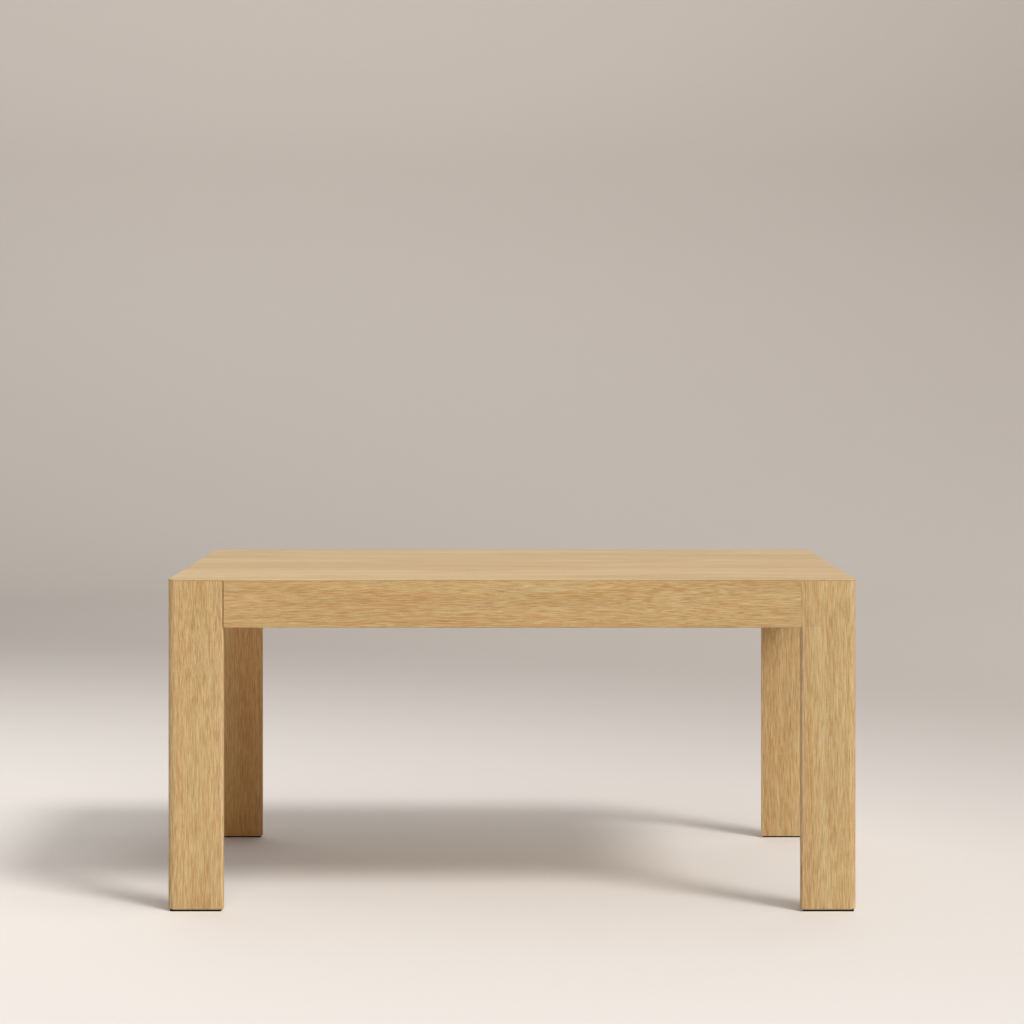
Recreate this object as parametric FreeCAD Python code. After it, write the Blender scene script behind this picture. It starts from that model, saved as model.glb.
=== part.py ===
import FreeCAD, Part
import math
import os

# Extending dining table, closed. Millimetres, +Z up, origin on the floor under the middle of the top.
# The left end frame carries the stored leaf and slides out along -X from under the one-piece top.

# Whole table
table_length = 1600.0
table_width = 900.0
table_height = 772.0
corner_radius = 18.0
leaf_length = 400.0

# Top
top_thickness = 22.0
lip_thickness = 4.0
lip_arris = 1.2
lip_under_arris = 0.3
shadow_gap = 0.3
panel_clearance = 1.0

# Boards of the legs and aprons
board_thickness = 20.0
leg_width = 129.0
leg_edge_round = 6.0
leg_foot_round = 3.5
apron_arris = 2.0
apron_top_arris = 0.4
sliding_joint_gap = 1.0

# Glides under the legs
glide_thickness = 4.0
glide_end_inset = 5.0
glide_side_inset = 3.0
glide_corner_radius = 5.0

# Dowels
dowel_radius = 4.0
dowel_length = 40.0
dowel_fit = 0.05
dowel_height_shares = (0.27, 0.73)
rail_dowel_spread_share = 0.5
cross_dowel_bite_share = 0.6

# Stored leaf
fold_gap = 1.0
leaf_top_clearance = 2.0
leaf_side_clearance = 2.0
leaf_pad_radius = 7.0
leaf_pad_length_shares = (0.15, 0.85)
leaf_pad_width_shares = (0.12, 0.62)
cleat_thickness = 16.0
cleat_height = 20.0
cleat_clearance = 1.0

# Hinges of the leaf
hinge_plate_width = 24.0
hinge_plate_length = 50.0
hinge_plate_thickness = 2.0
hinge_pin_radius = 1.5
hinge_pin_depth = 4.5
hinge_pin_fit = 0.05
hinge_link_thickness = 3.0
hinge_link_radius = 3.2
hinge_ear_thickness = 3.0
hinge_play = 0.2
hinge_pocket_play = 0.5
hinge_length_shares = (0.18, 0.5, 0.82)
hinge_screw_shares = (0.42, 0.8)

# Carriage under the leaf
carriage_rail_width = 40.0
carriage_rail_thickness = 20.0
beam_thickness = 28.0
beam_running_gap = 0.5
block_size = 60.0
block_gap = 5.0
batten_thickness = 12.0
batten_end_gap = 3.0

# Cross rails of the main frame
cross_rail_width = 70.0
cross_rail_thickness = 20.0
cross_rail_rise = 2.0
carriage_running_gap = 2.0
first_rail_inset = 14.0
upper_rail_width = 60.0
upper_rail_height = 40.0
upper_rail_share = 0.7

# Runners
runner_length = 680.0
runner_height = 45.5
runner_depth = 12.7
runner_sheet = 1.2
runner_start_gap = 6.5
runner_low_gap = 1.25
runner_head_gap = 2.25
ball_radius = 1.6
ball_play = 0.3
balls_in_row = 8
cage_sheet = 0.8
cage_length = 300.0
cage_centre_share = 0.43
cage_rim = 1.2
cage_ball_play = 0.1
web_play = 0.4

# Screws
screw_radius = 2.0
screw_fit = 0.05
screw_head_radius = 3.6
screw_head_height = 1.6
screw_length = 16.0
screw_length_shares = (0.03, 0.27, 0.5, 0.73, 0.97)
top_screw_length = 30.0
top_screw_head_radius = 4.0
top_screw_head_height = 3.0
top_screw_recess = 4.0
top_screw_shares = (0.05, 0.28, 0.5, 0.72, 0.95)
short_batten_shares = (0.12, 0.5, 0.88)
carriage_screw_radius = 2.5
carriage_screw_length = 62.0
carriage_screw_head_radius = 4.5
carriage_screw_head_height = 3.0
carriage_screw_recess = 4.0
beam_bolt_radius = 3.0
beam_bolt_head_radius = 5.5
beam_bolt_head_height = 3.5
beam_bolt_shares = (0.25, 0.75)
beam_bolt_bite_share = 0.66
socket_radius_share = 0.45
socket_depth_share = 0.6

# Lock
lock_travel = 12.0
plunger_radius = 6.0
plunger_head = 16.0
plunger_chamfer = 1.2
stem_radius = 4.0
lock_fit = 0.08
lock_hole_play = 0.6
bush_wall = 3.0
bush_flange = 2.5
bush_flange_radius = 13.0
knob_radius = 14.0
knob_height = 16.0
knob_round = 4.0
knob_neck_radius = 8.0
knob_neck_height = 4.0
knob_play = 0.3

# One overrun serves all cuts
overrun = 1.0

# Places worked out from the sizes above
half_length = table_length / 2
half_width = table_width / 2
inner_x = half_length - board_thickness
inner_y = half_width - board_thickness
leg_x = half_length - leg_width
panel_x = inner_x - panel_clearance
panel_y = inner_y - panel_clearance
lip_bottom = table_height - lip_thickness
panel_bottom = table_height - top_thickness
frame_top = lip_bottom - shadow_gap
leaf_top = panel_bottom - leaf_top_clearance
leaf_bottom = leaf_top - 2 * top_thickness - fold_gap
fold_level = leaf_bottom + top_thickness + fold_gap / 2
carriage_bottom = leaf_bottom - carriage_rail_thickness
cross_rail_top = carriage_bottom - carriage_running_gap
cross_rail_bottom = cross_rail_top - cross_rail_thickness
apron_bottom = cross_rail_bottom - cross_rail_rise
apron_height = frame_top - apron_bottom
runner_bottom = carriage_bottom + runner_low_gap
runner_level = runner_bottom + runner_height / 2
batten_bottom = runner_bottom + runner_height + runner_head_gap
beam_top = panel_bottom - beam_running_gap
beam_outer_y = inner_y - runner_depth
beam_inner_y = beam_outer_y - beam_thickness
front_apron_left = -leg_x + sliding_joint_gap
runner_start = front_apron_left + runner_start_gap
leaf_left = -inner_x + leaf_side_clearance
outer_rail_x = -inner_x + block_size + block_gap + carriage_rail_width / 2
lock_x = -table_length / 4
end_rail_x = lock_x + leaf_length
beam_right = end_rail_x + carriage_rail_width / 2
first_rail_x = front_apron_left + first_rail_inset + cross_rail_width / 2
upper_rail_x = half_length * upper_rail_share
fold_y = half_width / 2

# Webs, flanges and ball rows of a runner, from the apron's inner face and from the runner's middle
outer_cage_web = runner_sheet + web_play
middle_web = outer_cage_web + cage_sheet + web_play
inner_cage_web = middle_web + runner_sheet + web_play
inner_flange = inner_cage_web + cage_sheet + web_play
inner_web = runner_depth - runner_sheet
ball_depth = (inner_flange + inner_web) / 2
cage_edge = ball_depth + ball_radius + cage_ball_play + cage_rim
outer_half = runner_height / 2
middle_half = outer_half - runner_sheet - 2 * ball_radius
inner_half = middle_half - runner_sheet - 2 * ball_radius
outer_row = middle_half + ball_radius
inner_row = inner_half + ball_radius


def vec(x, y, z):
    return FreeCAD.Vector(x, y, z)


X_AXIS = vec(1, 0, 0)
Y_AXIS = vec(0, 1, 0)
Z_AXIS = vec(0, 0, 1)
CENTRE = vec(0, 0, 0)


def box(low, high):
    """Upright box between two corners, each an (x, y, z) triple."""
    size = [b - a for a, b in zip(low, high)]
    return Part.makeBox(*size, vec(*low))


def rod(start, axis, length, radius):
    return Part.makeCylinder(radius, length, start, axis)


def across(shape):
    """Mirror image on the rear side of the table."""
    return shape.mirror(CENTRE, Y_AXIS)


def along(shape):
    """Mirror image at the other end of the table."""
    return shape.mirror(CENTRE, X_AXIS)


def both_sides(front_solids):
    """Front solids and their mirror images at the rear."""
    return list(front_solids) + [across(solid) for solid in front_solids]


def slab(edges, bottom, top):
    """Upright prism on a closed plan outline."""
    face = Part.Face(Part.Wire(edges))
    face.translate(vec(0, 0, bottom))
    return face.extrude(vec(0, 0, top - bottom))


def line(a, b):
    return Part.LineSegment(vec(*a, 0), vec(*b, 0)).toShape()


def arc(a, middle, b):
    return Part.Arc(vec(*a, 0), vec(*middle, 0), vec(*b, 0)).toShape()


def on_circle(centre, radius, degrees):
    turn = math.radians(degrees)
    return centre[0] + radius * math.cos(turn), centre[1] + radius * math.sin(turn)


def quarter(centre, radius, start_deg):
    """Start, middle and end of a quarter turn anticlockwise about a plan point."""
    return [on_circle(centre, radius, start_deg + 45 * step) for step in range(3)]


def rounded_slab(x_half, y_half, radius, bottom, top):
    """Plan rectangle about the middle of the table with rounded corners."""
    corners = ((1, 1, 0), (-1, 1, 90), (-1, -1, 180), (1, -1, 270))
    arcs = []
    for sx, sy, start in corners:
        centre = (sx * (x_half - radius), sy * (y_half - radius))
        arcs.append(quarter(centre, radius, start))
    edges = []
    for index, points in enumerate(arcs):
        edges.append(arc(*points))
        edges.append(line(points[2], arcs[(index + 1) % len(arcs)][0]))
    return slab(edges, bottom, top)


def edges_at(shape, level):
    """Edges that lie flat at one height."""
    near = lip_thickness / 100
    flat = []
    for edge in shape.Edges:
        bounds = edge.BoundBox
        if abs(bounds.ZMin - level) < near and abs(bounds.ZMax - level) < near:
            flat.append(edge)
    return flat


def grouped(solids):
    return Part.makeCompound(list(solids))


def bored(shape, tools):
    """The shape with every tool taken out of it."""
    return shape.cut(list(tools)).removeSplitter()


def save(name, shape):
    shape.exportStep("parts/" + name + ".step")


# Table top

def make_top():
    lip = rounded_slab(half_length, half_width, corner_radius, lip_bottom, table_height)
    lip = lip.makeFillet(lip_arris, edges_at(lip, table_height))
    lip = lip.makeFillet(lip_under_arris, edges_at(lip, lip_bottom))
    panel = box((-panel_x, -panel_y, panel_bottom), (panel_x, panel_y, lip_bottom))
    return lip.fuse(panel).removeSplitter()


# Legs. A leg is one upright board that faces front, drawn with its outer corner at the origin.

def leg_plan(edge_round):
    """From the rounded outer corner of the table to the edge beside the apron, and back along the rear."""
    start, middle, foot = quarter((corner_radius, corner_radius), corner_radius, 180)
    edges = [arc(start, middle, foot)]
    if edge_round > 0:
        side = quarter((leg_width - edge_round, edge_round), edge_round, 270)
        edges.append(line(foot, side[0]))
        edges.append(arc(*side))
        edges.append(line(side[2], (leg_width, board_thickness)))
    else:
        edges.append(line(foot, (leg_width, 0)))
        edges.append(line((leg_width, 0), (leg_width, board_thickness)))
    edges.append(line((leg_width, board_thickness), (0, board_thickness)))
    edges.append(line((0, board_thickness), start))
    return edges


def shown_foot_edges(board):
    """Bottom edges of a leg, all but the one at its back."""
    back = board_thickness - leg_foot_round / 10
    return [edge for edge in edges_at(board, glide_thickness) if edge.BoundBox.YMin < back]


def leg_board(open_edge):
    """An open edge is rounded all the way up, a glued one only below the apron."""
    rounded_top = frame_top if open_edge else apron_bottom
    board = slab(leg_plan(leg_edge_round), glide_thickness, rounded_top)
    board = board.makeFillet(leg_foot_round, shown_foot_edges(board))
    if not open_edge:
        board = board.fuse(slab(leg_plan(0), apron_bottom, frame_top)).removeSplitter()
    return board


def to_front_left(shape):
    moved = shape.copy()
    moved.translate(vec(-half_length, -half_width, 0))
    return moved


def to_front_right(shape):
    return along(to_front_left(shape))


# Dowels along x or y at the ends of the aprons and cross rails

def apron_dowel_levels():
    return [apron_bottom + apron_height * share for share in dowel_height_shares]


def long_apron_dowels():
    """Dowels between the right end of each long apron and its leg."""
    start = leg_x - dowel_length / 2
    y = -half_width + board_thickness / 2
    return both_sides([rod(vec(start, y, z), X_AXIS, dowel_length, dowel_radius)
                       for z in apron_dowel_levels()])


def cross_dowel(x, z):
    """Dowel in the front end of a board that runs across, short of the outer face of what it meets."""
    bite = board_thickness * cross_dowel_bite_share
    return rod(vec(x, -inner_y - bite, z), Y_AXIS, bite + dowel_length / 2, dowel_radius)


def end_apron_dowels(x):
    """Dowels between the ends of an end apron and its two legs."""
    return both_sides([cross_dowel(x, z) for z in apron_dowel_levels()])


def rail_dowels(centre_x, width, z):
    """Two dowels in each end of a cross rail."""
    spread = width * rail_dowel_spread_share / 2
    return both_sides([cross_dowel(x, z) for x in (centre_x - spread, centre_x + spread)])


def bore_for(pin, fit):
    """The same cylinder with a larger radius, as a tool."""
    surface = [f.Surface for f in pin.Faces if isinstance(f.Surface, Part.Cylinder)][0]
    bounds = pin.BoundBox
    axis = surface.Axis
    spans = {0: bounds.XLength, 1: bounds.YLength, 2: bounds.ZLength}
    main = max(range(3), key=lambda i: abs(axis[i]))
    start = [bounds.Center.x, bounds.Center.y, bounds.Center.z]
    start[main] -= spans[main] / 2
    direction = [0, 0, 0]
    direction[main] = 1
    return rod(vec(*start), vec(*direction), spans[main], surface.Radius + fit)


# Screws. A screw starts at the top of its head and points along its axis.

def flat_screw(start, axis, length, radius, head_radius, head_height, fit=0.0):
    head = Part.makeCone(head_radius + fit, radius + fit, head_height, start, axis)
    shank = rod(start, axis, length, radius + fit)
    return head.fuse(shank).removeSplitter()


def pan_screw(start, axis, length, radius, head_radius, head_height, fit=0.0):
    head = rod(start, axis, head_height, head_radius + fit)
    shank = rod(start, axis, length, radius + fit)
    body = head.fuse(shank).removeSplitter()
    if fit == 0.0:
        socket = rod(start, axis, head_height * socket_depth_share, head_radius * socket_radius_share)
        body = body.cut(socket)
    return body


def web_screws(depth, axis_sign, fit=0.0):
    """Countersunk screws along the web of a front runner member."""
    solids = []
    for share in screw_length_shares:
        x = runner_start + runner_length * share
        y = -inner_y + depth
        solids.append(flat_screw(vec(x, y, runner_level), vec(0, axis_sign, 0), screw_length,
                                 screw_radius, screw_head_radius, screw_head_height, fit))
    return solids


def outer_screws(fit=0.0):
    """Screws that hold an outer runner member on the front apron."""
    return web_screws(runner_sheet, -1, fit)


def inner_screws(fit=0.0):
    """Screws that hold an inner runner member on the front beam."""
    return web_screws(inner_web, 1, fit)


# Runners, drawn for the front: depth runs from the apron's inner face towards the middle of the table.

def member(web_start, flange_start, flange_end, half_height):
    """A channel: a web from web_start and two flanges from flange_start to flange_end."""
    y0 = -inner_y
    x1 = runner_start + runner_length
    web = box((runner_start, y0 + web_start, runner_level - half_height),
              (x1, y0 + web_start + runner_sheet, runner_level + half_height))
    flange = box((runner_start, y0 + flange_start, runner_level + half_height - runner_sheet),
                 (x1, y0 + flange_end, runner_level + half_height))
    lower = flange.mirror(vec(0, 0, runner_level), Z_AXIS)
    return web.fuse([flange, lower]).removeSplitter()


def ball_track(offset):
    """Grooves for one pair of ball rows, above and below the runner's middle."""
    radius = ball_radius + ball_play
    upper = rod(vec(runner_start - overrun, -inner_y + ball_depth, runner_level + offset), X_AXIS,
                runner_length + 2 * overrun, radius)
    return [upper, upper.mirror(vec(0, 0, runner_level), Z_AXIS)]


def make_outer_member():
    shape = member(0, 0, runner_depth - ball_play, outer_half)
    return bored(shape, ball_track(outer_row))


def make_middle_member():
    shape = member(middle_web, middle_web, inner_web - ball_play, middle_half)
    return bored(shape, ball_track(outer_row) + ball_track(inner_row))


def make_inner_member():
    shape = member(inner_web, inner_flange, runner_depth, inner_half)
    return bored(shape, ball_track(inner_row))


def make_cage(web_start, row):
    """A bent strip that holds two rows of balls, and the balls."""
    y0 = -inner_y
    start = runner_start + runner_length * cage_centre_share - cage_length / 2
    end = start + cage_length
    half = row + cage_sheet / 2
    web = box((start, y0 + web_start, runner_level - half),
              (end, y0 + web_start + cage_sheet, runner_level + half))
    strip = box((start, y0 + web_start, runner_level + row - cage_sheet / 2),
                (end, y0 + cage_edge, runner_level + half))
    cage = web.fuse([strip, strip.mirror(vec(0, 0, runner_level), Z_AXIS)]).removeSplitter()
    pitch = cage_length / balls_in_row
    balls = []
    holes = []
    for index in range(balls_in_row):
        for side in (-1, 1):
            centre = vec(start + (index + 0.5) * pitch, y0 + ball_depth, runner_level + side * row)
            balls.append(Part.makeSphere(ball_radius, centre))
            foot = centre - vec(0, 0, cage_sheet)
            holes.append(rod(foot, Z_AXIS, 2 * cage_sheet, ball_radius + cage_ball_play))
    return grouped([cage.cut(holes)] + balls)


# Stored leaf, lower half: its good face looks up at the fold

def leaf_face():
    return fold_level - fold_gap / 2


def hinge_centres():
    return [leaf_left + leaf_length * share for share in hinge_length_shares]


def make_leaf_half():
    top = leaf_face()
    low = top - top_thickness
    step = top - lip_thickness
    outer_y = fold_y - half_width
    tongue_x = board_thickness + panel_clearance
    first = (leaf_left, outer_y)
    bend = quarter((first[0] + corner_radius, first[1] + corner_radius), corner_radius, 180)
    right = leaf_left + leaf_length
    lip = slab([arc(*bend),
                line(bend[2], (right, outer_y)),
                line((right, outer_y), (right, fold_y)),
                line((right, fold_y), (leaf_left, fold_y)),
                line((leaf_left, fold_y), bend[0])], step, top)
    body = box((leaf_left + tongue_x, outer_y + tongue_x, low), (right + tongue_x, fold_y, step))
    shape = lip.fuse(body).removeSplitter()
    tools = []
    pocket_half = hinge_link_thickness / 2 + hinge_play + hinge_ear_thickness + hinge_pocket_play
    pin_y, pin_z = pin_centre()
    pocket_reach = hinge_link_radius + hinge_play + hinge_pocket_play
    pocket_y = pin_y - pocket_reach
    pocket_z = pin_z - pocket_reach
    for x in hinge_centres():
        tools.append(box((x - hinge_plate_width / 2, fold_y - hinge_plate_length,
                          top - hinge_plate_thickness),
                         (x + hinge_plate_width / 2, fold_y + overrun, top + overrun)))
        tools.append(box((x - pocket_half, pocket_y, pocket_z),
                         (x + pocket_half, fold_y + overrun, top + overrun)))
    return bored(shape, tools + hinge_screws(screw_fit))


def hinge_screws(fit=0.0):
    solids = []
    for x in hinge_centres():
        for share in hinge_screw_shares:
            y = fold_y - hinge_plate_length * share
            solids.append(flat_screw(vec(x, y, leaf_face()), -Z_AXIS, screw_length, screw_radius,
                                     screw_head_radius, screw_head_height, fit))
    return solids


def pin_centre():
    """Place of the lower hinge pin beside the fold."""
    inset = hinge_pin_depth + fold_gap / 2
    return fold_y - inset, leaf_face() - hinge_pin_depth


def make_hinge_plates():
    top = leaf_face()
    y, z = pin_centre()
    ear_inner = hinge_link_thickness / 2 + hinge_play
    ear_outer = ear_inner + hinge_ear_thickness
    ear_y = hinge_link_radius + hinge_play
    plates = []
    for x in hinge_centres():
        plate = box((x - hinge_plate_width / 2, fold_y - hinge_plate_length,
                     top - hinge_plate_thickness), (x + hinge_plate_width / 2, fold_y, top))
        ear = box((x + ear_inner, y - ear_y, z - hinge_link_radius), (x + ear_outer, y + ear_y, top))
        other = ear.mirror(vec(x, 0, 0), X_AXIS)
        slot = box((x - ear_inner, y - ear_y, top - 2 * hinge_plate_thickness),
                   (x + ear_inner, fold_y + overrun, top + overrun))
        plate = plate.fuse([ear, other]).cut(slot)
        hole = rod(vec(x - ear_outer - overrun, y, z), X_AXIS, 2 * (ear_outer + overrun),
                   hinge_pin_radius + hinge_pin_fit)
        plates.append(plate.cut(hole))
    plates = [plate.cut(hinge_screws(screw_fit)).removeSplitter() for plate in plates]
    return plates


def make_hinge_pins():
    y, z = pin_centre()
    reach = hinge_link_thickness / 2 + hinge_play + hinge_ear_thickness
    return [rod(vec(x - reach, y, z), X_AXIS, 2 * reach, hinge_pin_radius) for x in hinge_centres()]


def make_hinge_links():
    """Straps that join the lower and the upper pin of each hinge."""
    y, low = pin_centre()
    high = 2 * fold_level - low
    links = []
    for x in hinge_centres():
        start = x - hinge_link_thickness / 2
        strap = box((start, y - hinge_link_radius, low), (start + hinge_link_thickness,
                                                          y + hinge_link_radius, high))
        ends = [rod(vec(start, y, z), X_AXIS, hinge_link_thickness, hinge_link_radius)
                for z in (low, high)]
        holes = [rod(vec(start, y, z), X_AXIS, hinge_link_thickness, hinge_pin_radius + hinge_pin_fit)
                 for z in (low, high)]
        links.append(strap.fuse(ends).removeSplitter().cut(holes))
    return grouped(links)


def folded(shape):
    """Image of a lower piece in the upper half of the folded leaf."""
    return shape.mirror(vec(0, 0, fold_level), Z_AXIS)


def both_halves(solids):
    return grouped(list(solids) + [folded(s) for s in solids])


def make_leaf_pads():
    pads = []
    for share_x in leaf_pad_length_shares:
        for share_y in leaf_pad_width_shares:
            x = leaf_left + leaf_length * share_x
            y = fold_y - half_width + half_width * share_y
            pads.append(rod(vec(x, y, leaf_face()), Z_AXIS, fold_gap, leaf_pad_radius))
    return grouped(pads)


# Carriage and cross rails

def carriage_rail(centre_x):
    half = carriage_rail_width / 2
    return box((centre_x - half, -beam_inner_y, carriage_bottom),
               (centre_x + half, beam_inner_y, leaf_bottom))


def lock_hole(centre_x):
    return rod(vec(centre_x, 0, carriage_bottom - overrun), Z_AXIS,
               carriage_rail_thickness + 2 * overrun, plunger_radius + lock_hole_play)


def cross_rail(centre_x):
    half = cross_rail_width / 2
    return box((centre_x - half, -inner_y, cross_rail_bottom), (centre_x + half, inner_y, cross_rail_top))


def carriage_screws(fit=0.0):
    """Screws through the beams into the ends of the carriage rails."""
    solids = []
    level = carriage_bottom + carriage_rail_thickness / 2
    for centre_x in (outer_rail_x, lock_x, end_rail_x):
        for side in (-1, 1):
            x = centre_x + side * carriage_rail_width / 4
            start = vec(x, -beam_outer_y + carriage_screw_recess, level)
            solids.append(pan_screw(start, Y_AXIS, carriage_screw_length - carriage_screw_recess,
                                    carriage_screw_radius, carriage_screw_head_radius,
                                    carriage_screw_head_height, fit))
    return solids


def carriage_screw_recesses():
    tools = []
    for screw in carriage_screws():
        bounds = screw.BoundBox
        start = vec(bounds.Center.x, -beam_outer_y - overrun, bounds.Center.z)
        tools.append(rod(start, Y_AXIS, carriage_screw_recess + overrun,
                         carriage_screw_head_radius + screw_fit))
    return tools


def beam_bolts(fit=0.0):
    """Bolts from inside through beam and packer into the leg."""
    solids = []
    level = (leaf_bottom + beam_top) / 2
    left = -inner_x + block_size
    bite = board_thickness * beam_bolt_bite_share
    length = beam_bolt_head_height + beam_thickness + runner_depth + bite
    for share in beam_bolt_shares:
        x = left + (-leg_x - left) * share
        start = vec(x, -beam_inner_y + beam_bolt_head_height, level)
        solids.append(pan_screw(start, -Y_AXIS, length, beam_bolt_radius,
                                beam_bolt_head_radius, beam_bolt_head_height, fit))
    return solids


def corner_block(corner_x, corner_y, bottom, top):
    """Block in the front left corner of a frame, with its free corner cut off."""
    end_x = corner_x + block_size
    end_y = corner_y + block_size
    half_x = corner_x + block_size / 2
    half_y = corner_y + block_size / 2
    return slab([line((corner_x, corner_y), (end_x, corner_y)),
                 line((end_x, corner_y), (end_x, half_y)),
                 line((end_x, half_y), (half_x, end_y)),
                 line((half_x, end_y), (corner_x, end_y)),
                 line((corner_x, end_y), (corner_x, corner_y))], bottom, top)


# Screws that hold the top, from below

def top_screw_places():
    places = []
    left = front_apron_left + first_rail_inset
    right = inner_x - block_size
    for share in top_screw_shares:
        x = left + (right - left) * share
        places.append((x, -inner_y + batten_thickness / 2, batten_bottom))
        places.append((x, inner_y - batten_thickness / 2, batten_bottom))
    for share in short_batten_shares:
        y = (2 * share - 1) * (inner_y - block_size)
        places.append((inner_x - batten_thickness / 2, y, batten_bottom))
        places.append((upper_rail_x, y, panel_bottom - upper_rail_height))
    return places


def top_screws(fit=0.0):
    """Each screw ends the same height above the panel's underside."""
    solids = []
    tip = panel_bottom + top_screw_length / 2
    for x, y, low in top_screw_places():
        start = low + top_screw_recess - top_screw_head_height
        solids.append(pan_screw(vec(x, y, start), Z_AXIS, tip - start, screw_radius,
                                top_screw_head_radius, top_screw_head_height, fit))
    return solids


def top_screw_recesses():
    return [rod(vec(x, y, low - overrun), Z_AXIS, top_screw_recess + overrun,
                top_screw_head_radius + screw_fit) for x, y, low in top_screw_places()]


# Glides

def make_glide():
    """Thin pad under a leg, set in from its outline, drawn with the leg's corner at the origin."""
    pad = rounded_slab(leg_width / 2 - glide_end_inset, board_thickness / 2 - glide_side_inset,
                       glide_corner_radius, 0, glide_thickness)
    pad.translate(vec(leg_width / 2, board_thickness / 2, 0))
    return pad


# Lock

def make_bush():
    """Stepped bush: the plunger's head rests on its step."""
    step = cross_rail_top - plunger_head
    low = cross_rail_bottom - bush_flange
    outer = rod(vec(lock_x, 0, cross_rail_bottom), Z_AXIS, cross_rail_thickness,
                plunger_radius + bush_wall)
    flange = rod(vec(lock_x, 0, low), Z_AXIS, bush_flange, bush_flange_radius)
    head_bore = rod(vec(lock_x, 0, step), Z_AXIS, plunger_head + overrun, plunger_radius + lock_fit)
    stem_bore = rod(vec(lock_x, 0, low - overrun), Z_AXIS, cross_rail_thickness, stem_radius + lock_fit)
    return outer.fuse(flange).removeSplitter().cut([head_bore, stem_bore])


def knob_top():
    return cross_rail_bottom - bush_flange - lock_travel - knob_play


def make_plunger():
    step = cross_rail_top - plunger_head
    stem_low = knob_top() - knob_neck_height - knob_height / 2
    head = rod(vec(lock_x, 0, step), Z_AXIS, plunger_head, plunger_radius)
    head = head.makeChamfer(plunger_chamfer, edges_at(head, cross_rail_top))
    stem = rod(vec(lock_x, 0, stem_low), Z_AXIS, step - stem_low, stem_radius)
    return head.fuse(stem).removeSplitter()


def make_knob():
    high = knob_top()
    shoulder = high - knob_neck_height
    low = shoulder - knob_height
    body = rod(vec(lock_x, 0, low), Z_AXIS, knob_height, knob_radius)
    body = body.makeFillet(knob_round, edges_at(body, low) + edges_at(body, shoulder))
    neck = rod(vec(lock_x, 0, shoulder), Z_AXIS, knob_neck_height, knob_neck_radius)
    socket = rod(vec(lock_x, 0, shoulder - knob_height / 2), Z_AXIS,
                 knob_height / 2 + knob_neck_height + overrun, stem_radius + dowel_fit)
    return body.fuse(neck).removeSplitter().cut(socket)


# Holes that several boards share

def main_dowels():
    """Dowels between the aprons and the right legs, and in the ends of the cross rails."""
    pegs = long_apron_dowels() + end_apron_dowels(half_length - board_thickness / 2)
    lower_level = (cross_rail_bottom + cross_rail_top) / 2
    for x in (first_rail_x, lock_x):
        pegs += rail_dowels(x, cross_rail_width, lower_level)
    return pegs + rail_dowels(upper_rail_x, upper_rail_width, panel_bottom - upper_rail_height / 2)


def end_dowels():
    return end_apron_dowels(-half_length + board_thickness / 2)


def dowel_bores():
    return [bore_for(pin, dowel_fit) for pin in main_dowels() + end_dowels()]


def top_bores():
    return top_screws(screw_fit) + top_screw_recesses()


def soften(board, radius, level):
    """Round the long edges of an apron at one height."""
    longest = max(edge.Length for edge in edges_at(board, level))
    edges = [edge for edge in edges_at(board, level) if edge.Length > longest / 2]
    return board.makeFillet(radius, edges)


# The pieces, group by group

def save_dowels():
    save("apron_dowels_main", grouped(main_dowels()))
    save("apron_dowels_end", grouped(end_dowels()))


def save_top():
    save("table_top", bored(make_top(), top_screws(screw_fit)))
    save("top_screws", grouped(top_screws()))


def save_legs():
    """The left legs stand free of the long aprons, the right ones are glued to them."""
    bores = dowel_bores() + both_sides(beam_bolts(screw_fit))
    legs = {"left": to_front_left(leg_board(True)), "right": to_front_right(leg_board(False))}
    for end, leg in legs.items():
        save("leg_front_" + end, bored(leg, bores))
        save("leg_rear_" + end, bored(across(leg), bores))


def save_glides():
    left_glides = both_sides([to_front_left(make_glide())])
    save("glides_end", grouped(left_glides))
    save("glides_main", grouped([along(glide) for glide in left_glides]))


def save_aprons():
    """The long aprons take the dowels and the runners' screws, the end ones only dowels."""
    long_apron = box((front_apron_left, -half_width, apron_bottom), (leg_x, -inner_y, frame_top))
    end_apron = box((inner_x, -inner_y, apron_bottom), (half_length, inner_y, frame_top))
    long_apron = soften(soften(long_apron, apron_arris, apron_bottom), apron_top_arris, frame_top)
    end_apron = soften(soften(end_apron, apron_arris, apron_bottom), apron_top_arris, frame_top)
    bores = dowel_bores()
    runner_bores = both_sides(outer_screws(screw_fit))
    save("apron_front", bored(long_apron, bores + runner_bores))
    save("apron_rear", bored(across(long_apron), bores + runner_bores))
    save("apron_right", bored(end_apron, bores))
    save("apron_left", bored(along(end_apron), bores))


def save_main_battens():
    """Battens and corner blocks that carry the top."""
    bores = top_bores() + dowel_bores()
    batten = box((front_apron_left + batten_end_gap, -inner_y, batten_bottom),
                 (inner_x - block_size - batten_end_gap, -inner_y + batten_thickness, panel_bottom))
    save("batten_front", bored(batten, bores))
    save("batten_rear", bored(across(batten), bores))
    reach = inner_y - block_size - batten_end_gap
    end_batten = box((inner_x - batten_thickness, -reach, batten_bottom), (inner_x, reach, panel_bottom))
    save("batten_right", bored(end_batten, bores))
    block = along(corner_block(-inner_x, -inner_y, cross_rail_bottom, panel_bottom))
    save("corner_blocks_main", grouped(both_sides([block])))


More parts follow.
